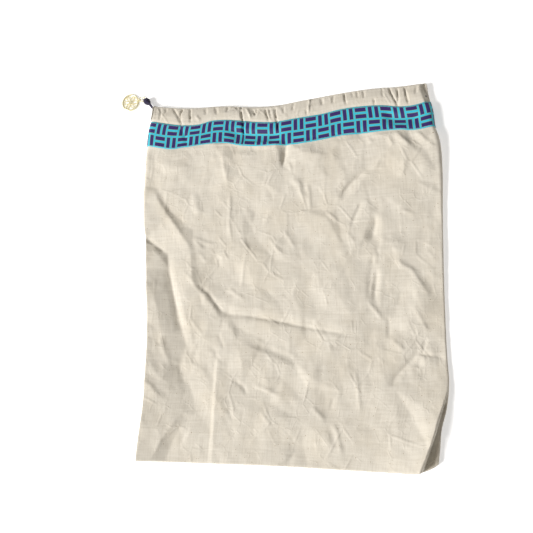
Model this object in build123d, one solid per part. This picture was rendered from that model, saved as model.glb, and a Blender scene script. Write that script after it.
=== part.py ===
from build123d import *
import math
import os

# A cotton drawstring shoe bag, empty and lying flat on its back. X runs across it, Y towards
# its mouth and Z up. The origin is under its middle, at the level that it lies on. Sizes in mm.

# The bag's outside
BAG_WIDTH = 305.0
BAG_LENGTH = 370.0
BAG_THICKNESS = 12.4
CLOTH = 0.4

# The hem round the mouth: a folded casing for the drawstring, closed by the ribbon's stitches
CASING_HEIGHT = 19.0
CHANNEL_DEPTH = 3.0
CHANNEL_FLOOR = 0.6
CASING_ROUND = 1.2
OPEN_END_ROUND = 1.0
HEM_TAIL = 8.0

# The ribbon lies on the hem, just under the casing, and its face and stitches end flush
RIBBON_WIDTH = 25.5
RIBBON_CLOTH = 0.3
THREAD = 0.2
RIBBON_END_GAP = 0.6

# Seam allowances inside the bag, and their stitches
SEAM_ALLOWANCE = 9.0
SEAM_LINE = 1.6
OVERLOCK_WIDTH = 3.0
OVERLOCK_CLOTH = 0.25
STITCH_LENGTH = 3.2
STITCH_WIDTH = 0.6
STITCH_PITCH = 6.0
STITCH_MARGIN = 1.5

# The drawstring
CORD = 2.5
CORD_BELOW_MOUTH = 13.0
EXIT_BELOW_MOUTH = 3.5
EXIT_CLIMB_RUN = 22.0
CORD_STRAIGHT_OUT = 2.3
CLIMB_BEND = 40.0
EXIT_BEND = 7.0
LOOP_RUN = 7.0
RUN_GAP = 0.5
KNOT_RADIUS = 4.0
KNOT_PLACE = (-155.7, 193.9, 4.2)
TAIL_SPREAD = 1.4

# The small ring and the charm on the knot. They lie flat, and their links stand on edge.
WIRE_RADIUS = 0.5
LOOP_RADIUS = 1.35
LOOP_WIRE = 0.45
LINK_HEIGHT = 1.85
EYE_REACH = 4.5
RING_ANGLE = 150.0
RING_RADIUS = 3.0
CHARM_ANGLE = 190.0
CHARM_RADIUS = 10.0
CHARM_WIRE = 1.05
CHARM_HEIGHT = 1.1
BAIL_REACH = 0.9
HUB_RADIUS = 1.9
PETAL_COUNT = 6
PETAL_START = 0.9
PETAL_LENGTH = 7.6
PETAL_WIDTH = 3.9
PETAL_WIRE = 0.85
PETAL_THICKNESS = 1.2

# Places that follow from the sizes
MIDDLE = BAG_THICKNESS / 2
LEFT = -BAG_WIDTH / 2
RIGHT = BAG_WIDTH / 2
BOTTOM = -BAG_LENGTH / 2
TOP = BAG_LENGTH / 2
RIBBON_TOP = TOP - CASING_HEIGHT
RIBBON_BOTTOM = RIBBON_TOP - RIBBON_WIDTH
TAIL_BOTTOM = RIBBON_BOTTOM - HEM_TAIL
RIBBON_INSET = THREAD + RIBBON_CLOTH
HEM_DEPTH = CLOTH + CHANNEL_DEPTH + CLOTH
FLAT_LEFT = LEFT + MIDDLE
FLAT_RIGHT = RIGHT - MIDDLE
CORD_Y = TOP - CORD_BELOW_MOUTH
EXIT_Y = TOP - EXIT_BELOW_MOUTH
CORD_INSET = CLOTH + CHANNEL_DEPTH / 2
FRONT_CORD_Z = BAG_THICKNESS - CORD_INSET
BACK_CORD_Z = CORD_INSET
FAR = 1000.0


def slab(inset, low, high):
    """The bag's cross-section, shrunk by inset all round, between two places along Y."""
    start = Plane(origin=(0, low, MIDDLE), x_dir=(1, 0, 0), z_dir=(0, 1, 0))
    section = SlotOverall(BAG_WIDTH - 2 * inset, BAG_THICKNESS - 2 * inset)
    return extrude(start * section, amount=high - low)


def band(inset, depth, low, high):
    """A closed band of the given depth, just inside the bag's surface."""
    return slab(inset, low, high) - slab(inset + depth, low, high)


def block(x, y, z):
    """A box between pairs of places along X, Y and Z."""
    size = Box(x[1] - x[0], y[1] - y[0], z[1] - z[0])
    return Pos((x[0] + x[1]) / 2, (y[0] + y[1]) / 2, (z[0] + z[1]) / 2) * size


def rounded_bottom(inset):
    """A solid that rounds the bag's bottom edge over its whole thickness."""
    centre = BOTTOM + MIDDLE
    edge = Cylinder(MIDDLE - inset, BAG_WIDTH, rotation=(0, 90, 0))
    body = block((LEFT, RIGHT), (centre, TOP), (inset, BAG_THICKNESS - inset))
    return Pos(0, centre, MIDDLE) * edge + body


def pillow(inset):
    """The bag's body below the hem, shrunk by inset."""
    return slab(inset, BOTTOM, RIBBON_BOTTOM) & rounded_bottom(inset)


def casing():
    """The casing round the mouth, with its channel and its end cut open on the left."""
    ring = band(0, HEM_DEPTH, RIBBON_TOP, TOP)
    ring = fillet(ring.edges().filter_by_position(Axis.Y, TOP, TOP), CASING_ROUND)
    channel = band(CLOTH, CHANNEL_DEPTH, RIBBON_TOP + CHANNEL_FLOOR, TOP - CLOTH)
    rim = channel.edges().filter_by_position(Axis.Y, TOP - CLOTH, TOP - CLOTH)
    channel = fillet(rim, CASING_ROUND - CLOTH)
    cut = FLAT_LEFT - OPEN_END_ROUND
    open_end = block((LEFT, cut), (RIBBON_TOP, TOP), (0, BAG_THICKNESS))
    return ring - channel - open_end


def seam_allowance(z):
    """The cloth turned inside along the left, right and bottom edges, between two heights."""
    into_wall = CLOTH / 2
    top = TAIL_BOTTOM - 1.0
    reach = SEAM_ALLOWANCE
    left = block((LEFT + into_wall, LEFT + reach), (BOTTOM + into_wall, top), z)
    right = block((RIGHT - reach, RIGHT - into_wall), (BOTTOM + into_wall, top), z)
    across = (LEFT + into_wall, RIGHT - into_wall)
    bottom = block(across, (BOTTOM + into_wall, BOTTOM + reach), z)
    return left + right + bottom


def exit_stitches():
    """Short vertical rows of stitches that finish the casing's open end, sunk in the cloth."""
    bars = []
    x = FLAT_LEFT + 3.0
    for z in (0.0, BAG_THICKNESS - THREAD):
        for step in range(4):
            y = RIBBON_TOP + 2.0 + step * 4.2
            bar = block((x, x + STITCH_WIDTH), (y, y + STITCH_LENGTH), (z, z + THREAD))
            bars.append(bar)
    return bars


def panels():
    """The front and back of the bag, each with its half of the hem, split at mid-height."""
    shell = pillow(0) - pillow(CLOTH)
    shell = shell + band(0, RIBBON_INSET + 2 * CLOTH, TAIL_BOTTOM, RIBBON_BOTTOM)
    shell = shell + band(RIBBON_INSET, 2 * CLOTH, RIBBON_BOTTOM, RIBBON_TOP)
    shell = shell + casing()
    for bar in exit_stitches():
        shell = shell - bar
    upper = block((-FAR, FAR), (-FAR, FAR), (MIDDLE, FAR))
    lower = block((-FAR, FAR), (-FAR, FAR), (-FAR, MIDDLE))
    front = (shell & upper) + seam_allowance((MIDDLE, MIDDLE + CLOTH))
    back = (shell & lower) + seam_allowance((MIDDLE - CLOTH, MIDDLE))
    return front, back


def ribbon():
    """One ribbon that goes round the bag from the left edge to the left edge."""
    loop = band(THREAD, RIBBON_CLOTH, RIBBON_BOTTOM, RIBBON_TOP)
    gap = (MIDDLE - RIBBON_END_GAP / 2, MIDDLE + RIBBON_END_GAP / 2)
    return loop - block((LEFT, LEFT + MIDDLE / 2), (RIBBON_BOTTOM, RIBBON_TOP), gap)


def stitch(x, y, z, thickness, turn=0.0):
    """One visible stitch: a flat bar with round ends, standing on the height z."""
    outline = SlotOverall(STITCH_LENGTH, STITCH_WIDTH)
    return Pos(x, y, z) * Rot(0, 0, turn) * extrude(outline, amount=thickness)


def places(low, high):
    """Evenly spaced places between two ends, about one stitch pitch apart."""
    count = round((high - low) / STITCH_PITCH)
    return [low + (high - low) * step / count for step in range(count + 1)]


def ribbon_stitches(y):
    """One line of stitches along the ribbon, seen on the front and on the back."""
    bars = []
    for x in places(FLAT_LEFT + STITCH_LENGTH, FLAT_RIGHT - STITCH_LENGTH):
        bars.append(stitch(x, y, BAG_THICKNESS - THREAD, THREAD))
        bars.append(stitch(x, y, 0, THREAD))
    return bars


def seam_heights():
    """The two heights where the seam's thread lies on the turned-in cloth."""
    return MIDDLE + CLOTH, MIDDLE - CLOTH - OVERLOCK_CLOTH


def side_seam_stitches(x):
    """The thread of a side seam, on both faces of the seam allowance."""
    bars = []
    for y in places(BOTTOM + SEAM_ALLOWANCE, TAIL_BOTTOM - STITCH_PITCH):
        for z in seam_heights():
            bars.append(stitch(x, y, z, OVERLOCK_CLOTH, turn=90.0))
    return bars


def bottom_seam_stitches():
    """The thread of the bottom seam, on both faces of the seam allowance."""
    bars = []
    for x in places(LEFT + SEAM_ALLOWANCE, RIGHT - SEAM_ALLOWANCE):
        for z in seam_heights():
            bars.append(stitch(x, BOTTOM + SEAM_LINE + CLOTH, z, OVERLOCK_CLOTH))
    return bars


def overlock(x, y):
    """Thread wrapped round both layers of a seam allowance, between places along X and Y."""
    depth = CLOTH + OVERLOCK_CLOTH
    outside = block(x, y, (MIDDLE - depth, MIDDLE + depth))
    return outside - seam_allowance((MIDDLE - CLOTH, MIDDLE + CLOTH))


def side_overlock(side):
    """The overlocked edge of a side seam: side is -1 on the left and 1 on the right."""
    edge = side * (BAG_WIDTH / 2 - SEAM_ALLOWANCE)
    x = sorted((edge + side * OVERLOCK_WIDTH, edge - side * OVERLOCK_CLOTH))
    return overlock(x, (BOTTOM + SEAM_ALLOWANCE + OVERLOCK_CLOTH, TAIL_BOTTOM - 1.0))


def bottom_overlock():
    """The overlocked edge of the bottom seam."""
    end = BAG_WIDTH / 2 - SEAM_ALLOWANCE - 2 * OVERLOCK_CLOTH
    y = (BOTTOM + SEAM_ALLOWANCE - OVERLOCK_WIDTH, BOTTOM + SEAM_ALLOWANCE + OVERLOCK_CLOTH)
    return overlock((-end, end), y)


def cord_along(path):
    """A tube of the cord's thickness along a path."""
    start = Plane(origin=path @ 0, z_dir=path % 0)
    return sweep(start * Circle(CORD / 2), path=path)


def drawstring_loop():
    """The cord's middle, which turns back inside the casing at the right."""
    turn = MIDDLE - CORD_INSET
    start = FLAT_RIGHT - LOOP_RUN
    front = Line((start, CORD_Y, FRONT_CORD_Z), (FLAT_RIGHT, CORD_Y, FRONT_CORD_Z))
    furthest = (FLAT_RIGHT + turn, CORD_Y, MIDDLE)
    bend = ThreePointArc(front @ 1, furthest, (FLAT_RIGHT, CORD_Y, BACK_CORD_Z))
    back = Line(bend @ 1, (start, CORD_Y, BACK_CORD_Z))
    return cord_along(Wire([front, bend, back]))


def knot():
    """The overhand knot that ties both ends of the cord together, as a plain ball."""
    return Pos(*KNOT_PLACE) * Sphere(KNOT_RADIUS)


def drawstring_tail(z, target_rise):
    """One end of the cord: along the casing, up to its open corner, and out to the knot."""
    start = (FLAT_RIGHT - LOOP_RUN - RUN_GAP, CORD_Y, z)
    climb = (FLAT_LEFT + EXIT_CLIMB_RUN, CORD_Y, z)
    corner = (FLAT_LEFT - CORD_STRAIGHT_OUT, EXIT_Y, z)
    x, y, height = KNOT_PLACE
    end = (x, y, height + target_rise)
    path = FilletPolyline(start, climb, corner, end, radius=[CLIMB_BEND, EXIT_BEND])
    tail = cord_along(path)
    length = path.length
    section = math.pi * CORD**2 / 4
    print("tail", round(length, 1), "mm; volume", round(tail.volume, 1), "mm3, section times",
          "length", round(section * length, 1), "mm3; bends", CLIMB_BEND, EXIT_BEND, "mm")
    return tail - knot()


def heading(angle, reach, start, height):
    """The place at a distance from start, in a direction seen from above."""
    turn = math.radians(angle)
    return (start[0] + reach * math.cos(turn), start[1] + reach * math.sin(turn), height)


def link(place, angle):
    """A small loop standing on edge, in line with the direction that it pulls in."""
    return Pos(*place) * Rot(0, 0, angle) * Rot(90, 0, 0) * Torus(LOOP_RADIUS, LOOP_WIRE)


EYE_PLACE = heading(RING_ANGLE, EYE_REACH, KNOT_PLACE, LINK_HEIGHT)
RING_PLACE = heading(RING_ANGLE, RING_RADIUS, EYE_PLACE, LINK_HEIGHT)
BAIL_PLACE = heading(CHARM_ANGLE, RING_RADIUS, RING_PLACE, LINK_HEIGHT)
CHARM_PLACE = heading(CHARM_ANGLE, CHARM_RADIUS + BAIL_REACH, BAIL_PLACE, CHARM_HEIGHT)


def cord_eye():
    """The small loop at the end of the knot that holds the ring."""
    return link(EYE_PLACE, RING_ANGLE) - knot()


def jump_ring():
    """The plain wire ring between the cord and the charm."""
    return Pos(*RING_PLACE) * Torus(RING_RADIUS, WIRE_RADIUS)


def petal(angle):
    """One open oval of the charm's flower, from its hub into its rim."""
    outline = Ellipse(PETAL_LENGTH / 2, PETAL_WIDTH / 2)
    outline = outline - Ellipse(PETAL_LENGTH / 2 - PETAL_WIRE, PETAL_WIDTH / 2 - PETAL_WIRE)
    body = extrude(outline, amount=PETAL_THICKNESS)
    return Rot(0, 0, angle) * Pos(PETAL_START + PETAL_LENGTH / 2, 0, -PETAL_THICKNESS / 2) * body


def charm():
    """A round pierced charm: a rim, six open petals and the loop that it hangs from."""
    flower = Torus(CHARM_RADIUS - CHARM_WIRE, CHARM_WIRE)
    flower = flower + Cylinder(HUB_RADIUS, 2 * CHARM_WIRE)
    for step in range(PETAL_COUNT):
        flower = flower + petal(step * 360.0 / PETAL_COUNT)
    return Pos(*CHARM_PLACE) * flower + link(BAIL_PLACE, CHARM_ANGLE)


def save(name, shape):
    """Write one piece, or one group of separate solids, as its own file."""
    if isinstance(shape, list):
        shape = Compound(shape)
    export_step(shape, f"parts/{name}.step")


def main():
    os.makedirs("parts", exist_ok=True)
    front, back = panels()
    save("front_panel", front)
    save("back_panel", back)
    save("ribbon_band", ribbon())
    save("ribbon_upper_stitching", ribbon_stitches(RIBBON_TOP - STITCH_MARGIN))
    save("ribbon_lower_stitching", ribbon_stitches(RIBBON_BOTTOM + STITCH_MARGIN))
    save("casing_end_stitching", exit_stitches())
    save("left_seam_stitching", side_seam_stitches(LEFT + SEAM_LINE + CLOTH))
    save("right_seam_stitching", side_seam_stitches(RIGHT - SEAM_LINE - CLOTH))
    save("bottom_seam_stitching", bottom_seam_stitches())
    save("left_seam_overlock", side_overlock(-1))
    save("right_seam_overlock", side_overlock(1))
    save("bottom_seam_overlock", bottom_overlock())
    save("drawstring_loop", drawstring_loop())
    tails = [drawstring_tail(FRONT_CORD_Z, TAIL_SPREAD), drawstring_tail(BACK_CORD_Z, -TAIL_SPREAD)]
    save("drawstring_tails", tails)
    save("drawstring_knot", knot())
    save("cord_eye", cord_eye())
    save("jump_ring", jump_ring())
    save("charm", charm())
    for name, place in (("eye", EYE_PLACE), ("bail", BAIL_PLACE), ("charm", CHARM_PLACE)):
        print(name, [round(value, 3) for value in place])


main()
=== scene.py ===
import math

import bpy
import numpy as np
from mathutils import Matrix, Vector
from mathutils.geometry import delaunay_2d_cdt


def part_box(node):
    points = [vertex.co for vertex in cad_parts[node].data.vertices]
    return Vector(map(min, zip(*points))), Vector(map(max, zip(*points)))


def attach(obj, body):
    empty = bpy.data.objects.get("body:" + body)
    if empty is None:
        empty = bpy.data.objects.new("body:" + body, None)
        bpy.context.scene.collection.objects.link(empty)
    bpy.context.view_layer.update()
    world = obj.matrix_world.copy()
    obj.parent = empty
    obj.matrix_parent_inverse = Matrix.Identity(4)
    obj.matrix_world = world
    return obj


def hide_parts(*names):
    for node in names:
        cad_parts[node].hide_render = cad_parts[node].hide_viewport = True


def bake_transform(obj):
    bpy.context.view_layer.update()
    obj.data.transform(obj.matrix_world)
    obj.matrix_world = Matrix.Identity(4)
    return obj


# Looks for a cotton drawstring shoe bag that lies flat on its back. Shapes are worked out in
# millimetres in the frame of the CAD model and are scaled to metres when a mesh is made.
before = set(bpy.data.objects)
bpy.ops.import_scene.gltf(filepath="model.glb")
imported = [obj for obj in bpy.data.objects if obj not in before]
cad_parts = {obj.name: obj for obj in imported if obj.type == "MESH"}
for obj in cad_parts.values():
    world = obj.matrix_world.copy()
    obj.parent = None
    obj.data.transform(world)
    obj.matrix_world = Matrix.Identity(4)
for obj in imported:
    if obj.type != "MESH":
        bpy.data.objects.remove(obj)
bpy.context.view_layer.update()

MM = 0.001

# The cloth bag at rest, from the CAD model
PANEL_LOW, PANEL_HIGH = (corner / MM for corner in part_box("front_panel"))
RIBBON_LOW, RIBBON_HIGH = (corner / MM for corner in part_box("ribbon_band"))
KNOT_LOW, KNOT_HIGH = (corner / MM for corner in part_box("drawstring_knot"))
HALF_WIDTH = PANEL_HIGH.x
BOTTOM = PANEL_LOW.y
TOP = PANEL_HIGH.y
RIBBON_BOTTOM = RIBBON_LOW.y
RIBBON_TOP = RIBBON_HIGH.y
KNOT_CENTRE = (KNOT_LOW + KNOT_HIGH) / 2

# Cloth: its thickness, and the steps of its mesh, its height map and its round edges
CLOTH = 0.4
GRID = 1.2
MAP_STEP = 0.75
MAP_X = 170.0
MAP_Y = 200.0
EDGE_STEPS = 7
# How high the front and back faces lie over the table, from the bag's body to its neck
BODY_HEIGHT = 5.4
BODY_CROWN = 1.2
LEAST_HEIGHT = 3.0
NECK_HEIGHT = 11.0
NECK_STARTS = 30.0
NECK_ENDS = 134.0
BACK_HEIGHT = 0.45
RIBBON_BACK = 0.55
RIBBON_STEP = 6.0
# The casing swells over its lower stitches and falls to the mouth over its upper part
CASING_CREST = 1.1
CREST_SHARE = 0.15
CASING_SLOPE = 3.7
SLOPE_FROM = 0.4
SLOPE_CURVE = 1.3
# Heights of the side seams, and how round the edges are
BODY_SEAM = 1.5
NECK_SEAM = 5.6
EDGE_ROUND = 1.6
NECK_ROUND = 5.2
LAYER_GAP = 0.25
SIDE_CLOTH = 5.0
# Seam allowance, which ends under the ribbon, and the hem folded inside the casing
SEAM_ALLOWANCE = 9.0
LIP_SHARES = (1.0, 0.66, 0.33)
FADE_BELOW_NECK = 14.0
FADE_LENGTH = 12.0
CASING_DEPTH = 3.8
HEM_DEPTH = 0.9
HEM_TAIL = 8.0
HEM_STEPS = 18
FOLD_STEPS = 10

# How strongly the cloth is creased, and how much of that the ribbon holds flat
CREASE_STRENGTH = 1.15
CREASE_WIDTH = 0.78
PUCKER_STRENGTH = 1.75
RIBBON_HOLDS = 0.85
HOLD_STARTS = 4.0
HOLD_FADE = 12.0

# Ribbon, threads and the seams' overlocked edges
RIBBON_CLOTH = 0.3
RIBBON_LIFT = 0.32
RIBBON_CELL = 12.75
RIBBON_ROWS = 18
STITCH = 2.5
STITCH_PITCH = 3.4
STITCH_MARGIN = 1.5
THREAD = 0.17
THREAD_SIDES = 6
# A stitch is thin at its ends and has its full thickness from its shoulders on
THREAD_END = 0.35
THREAD_SHOULDER = 0.95
SHOULDER_AT = 0.4
# How far the middle of a stitch rises out of the cloth
FRONT_RISE = 0.16
BACK_RISE = 0.1
SEAM_RISE = 0.1
END_RISE = 0.12
SEAM_POINTS = 120
SEAM_BELOW_NECK = 16.0
SEAM_STITCH_IN = 1.6
SEAM_STITCH_UP = 0.42
END_STITCH_IN = 4.0
END_STITCH_GAPS = (1.5, 2.5)
END_POINTS = 30
OVERLOCK_THREAD = 0.15
OVERLOCK = [(-3.0, 0.5), (-0.4, 0.55), (0.3, 0.0), (-0.4, -0.55), (-3.0, -0.5)]

# Drawstring, and the cloth that covers it in the casing
CORD = 2.5
CORD_STEP = 1.2
CORD_SIDES = 14
CORD_Y = 172.0
BACK_CORD_Y = 169.5
FRONT_CORD_Z = 8.0
BACK_CORD_Z = 1.9
CORD_PLACES = (-70.0, 0.0, 70.0, 120.0)
TURN_INSET = 6.3
OPEN_END = (-146.0, 182.3)
BACK_EXIT_RISE = 0.4
CLIMB_X = -124.0
NECK_REACH = (5.2, -5.6)
TAIL_SPREAD = 1.1
COVER_GAP = 0.15
COVER_FALL = 1.5
COVER_FLAT = 0.9
COVER_FADE = 1.2
# The knot lies on a slant from the bag's corner and is thickest near its far end
KNOT_ANGLE = math.radians(46)
KNOT_NECK, KNOT_END = 5.2, 2.9
KNOT_CORE = 0.25
KNOT_SWELL = 2.3
KNOT_TURNS = 4.2
KNOT_STEPS = 110
KNOT_CORE_STEPS = 24

# The camera is above the lower right of the bag and looks down at it
CAMERA_PLACE = (0.12538, -0.12540, 0.66920)
CAMERA_RIGHT = (0.97722, 0.01, -0.21199)
CAMERA_LOOK = (-0.21, 0.1899, -0.95908)
CAMERA_LENS = 46.96
CAMERA_SENSOR = 36.0


def smooth(t):
    """A rise from 0 to 1 with level ends, as t goes from 0 to 1."""
    t = np.clip(t, 0.0, 1.0)
    return t * t * (3.0 - 2.0 * t)


def mix(a, b, t):
    """The value between a and b: a where t is 0, and b where it is 1."""
    return a + (b - a) * t


def distance_along(points):
    """How far each point of a line is from its start."""
    step = np.linalg.norm(np.diff(points, axis=0), axis=-1)
    return np.concatenate([[0.0], np.cumsum(step)])


def neck_share(flat_y):
    """0 on the body of the bag and 1 at its neck."""
    return smooth((flat_y - NECK_STARTS) / (NECK_ENDS - NECK_STARTS))


def curve_through(points):
    """A smooth curve through given points, as a function of their first number."""
    at, value = np.array(sorted(points), float).T
    slope = np.gradient(value, at)

    def curve(t):
        t = np.clip(t, at[0], at[-1])
        k = np.clip(np.searchsorted(at, t, side="right") - 1, 0, len(at) - 2)
        step = at[k + 1] - at[k]
        s = (t - at[k]) / step
        start = (1 + 2 * s) * (1 - s) ** 2 * value[k] + s * (1 - s) ** 2 * step * slope[k]
        end = s * s * (3 - 2 * s) * value[k + 1] - s * s * (1 - s) * step * slope[k + 1]
        return start + end

    return curve


# -------- the bag's outline

left_edge = curve_through([
    (186, -146.2), (170, -146.6), (163, -148.8), (140, -151.6), (110, -152.8), (85, -153.3),
    (55, -151.4), (22, -148), (-45, -143.9), (-101, -143), (-135, -144.6), (-163.5, -147.6),
    (-185, -148.8)])
right_edge = curve_through([
    (187, 140.6), (172.6, 143), (155, 146.6), (142, 147.8), (130, 151.4), (118, 153),
    (100, 153.5), (54, 152.3), (-13, 151), (-84, 151.2), (-109, 151.9), (-131, 149),
    (-151, 144), (-172, 141.8), (-185, 140)])
bottom_edge = curve_through([
    (-149, -184.9), (-84, -185.2), (14, -186.3), (59, -187.8), (100, -188.6), (125, -187.8),
    (133, -184.6), (140, -180)])
mouth_edge = curve_through([
    (-148, 186), (-118, 181.3), (-95, 179.6), (-80, 179.6), (-65, 179.2), (-48, 177),
    (-35, 175.6), (-11, 175.4), (14, 178.3), (24, 179.4), (52, 182.5), (88, 185), (115, 185),
    (134, 186.2), (142, 186.8)])
ribbon_top_edge = curve_through([
    (-149, 167.4), (-132, 163.4), (-116, 160.2), (-93, 159.1), (-80, 162), (-65, 162),
    (-47, 159.6), (-30, 156.8), (-10, 155.6), (10, 157.8), (24, 159), (40, 160.8),
    (52, 163.1), (76, 165.1), (98, 164.4), (115, 161.8), (128, 162.2), (145, 166.4)])
ribbon_bottom_edge = curve_through([
    (-152, 140.6), (-136, 136.4), (-123, 133.8), (-108, 134.8), (-92, 136), (-80, 136.6),
    (-68, 137), (-50, 133.2), (-35, 131.2), (-10, 130), (15, 130.6), (24, 131.5), (40, 133.5),
    (52, 135.6), (87, 137.4), (109, 137.8), (131, 136.7), (150, 139.8)])

BODY_WAVE = 90.0
BOTTOM_WAVE = 60.0


def waved(x, y):
    """Where a place on the flat bag is, once the mouth and the bottom edge are wavy."""
    at_bottom = bottom_edge(x) - BOTTOM
    at_ribbon = ribbon_bottom_edge(x) - RIBBON_BOTTOM
    at_casing = ribbon_top_edge(x) - RIBBON_TOP
    at_mouth = mouth_edge(x) - TOP
    shift = at_bottom * smooth((BOTTOM + BOTTOM_WAVE - y) / BOTTOM_WAVE)
    shift = shift + at_ribbon * smooth((y - RIBBON_BOTTOM + BODY_WAVE) / BODY_WAVE)
    on_ribbon = np.clip((y - RIBBON_BOTTOM) / (RIBBON_TOP - RIBBON_BOTTOM), 0, 1)
    shift = shift + (at_casing - at_ribbon) * on_ribbon
    on_casing = np.clip((y - RIBBON_TOP) / (TOP - RIBBON_TOP), 0, 1)
    return y + shift + (at_mouth - at_casing) * on_casing


# -------- the drawstring's route

def route_line(name, route):
    """Points of the smooth NURBS line whose control points are the route's, in millimetres."""
    shape = bpy.data.curves.new(name, "CURVE")
    shape.dimensions = "3D"
    spline = shape.splines.new("NURBS")
    spline.points.add(len(route) - 1)
    for point, place in zip(spline.points, route):
        point.co = (*place, 1.0)
    spline.order_u = 3
    spline.use_endpoint_u = True
    spline.resolution_u = 12
    holder = bpy.data.objects.new(name, shape)
    bpy.context.scene.collection.objects.link(holder)
    line = bpy.data.meshes.new_from_object(holder)
    points = np.array([vertex.co for vertex in line.vertices])
    bpy.data.objects.remove(holder)
    bpy.data.curves.remove(shape)
    bpy.data.meshes.remove(line)
    return points


def evenly(points, spacing):
    """The same line with evenly spaced points."""
    at = distance_along(points)
    where = np.linspace(0, at[-1], max(2, round(at[-1] / spacing)))
    return np.stack([np.interp(where, at, points[:, axis]) for axis in range(3)], axis=-1)


def drawstring_route():
    """The cord from the knot, along the front of the casing, round its end and back."""
    x, y, z = KNOT_CENTRE
    neck_x, neck_y = x + NECK_REACH[0], y + NECK_REACH[1]
    turn_x = right_edge(CORD_Y) - TURN_INSET
    turn_end = turn_x + (FRONT_CORD_Z - BACK_CORD_Z) / 2
    middle = (FRONT_CORD_Z + BACK_CORD_Z) / 2
    run = (CLIMB_X, *CORD_PLACES)
    front = [(x, y, z + TAIL_SPREAD), (neck_x, neck_y, z + TAIL_SPREAD),
             (*OPEN_END, FRONT_CORD_Z)]
    front = front + [(place, CORD_Y, FRONT_CORD_Z) for place in run]
    round_end = [(turn_x, CORD_Y, FRONT_CORD_Z), (turn_end, CORD_Y, FRONT_CORD_Z),
                 (turn_end, (CORD_Y + BACK_CORD_Y) / 2, middle),
                 (turn_end, BACK_CORD_Y, BACK_CORD_Z), (turn_x, BACK_CORD_Y, BACK_CORD_Z)]
    back = [(place, BACK_CORD_Y, BACK_CORD_Z) for place in reversed(run)]
    back.append((*OPEN_END, BACK_CORD_Z + BACK_EXIT_RISE))
    back.append((neck_x, neck_y, z - TAIL_SPREAD))
    return front + round_end + back + [(x, y, z - TAIL_SPREAD)]


CORD_LINE = evenly(route_line("drawstring_line", drawstring_route()), CORD_STEP)


# -------- folds in the front cloth

def crease(points, height, left, right, taper=0.25, soft=False):
    """A ridge, or a valley if height is negative, with its widths left and right of travel."""
    return {"points": np.array(points, float), "height": height, "left": left * CREASE_WIDTH,
            "right": right * CREASE_WIDTH, "taper": taper, "soft": soft}


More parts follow.
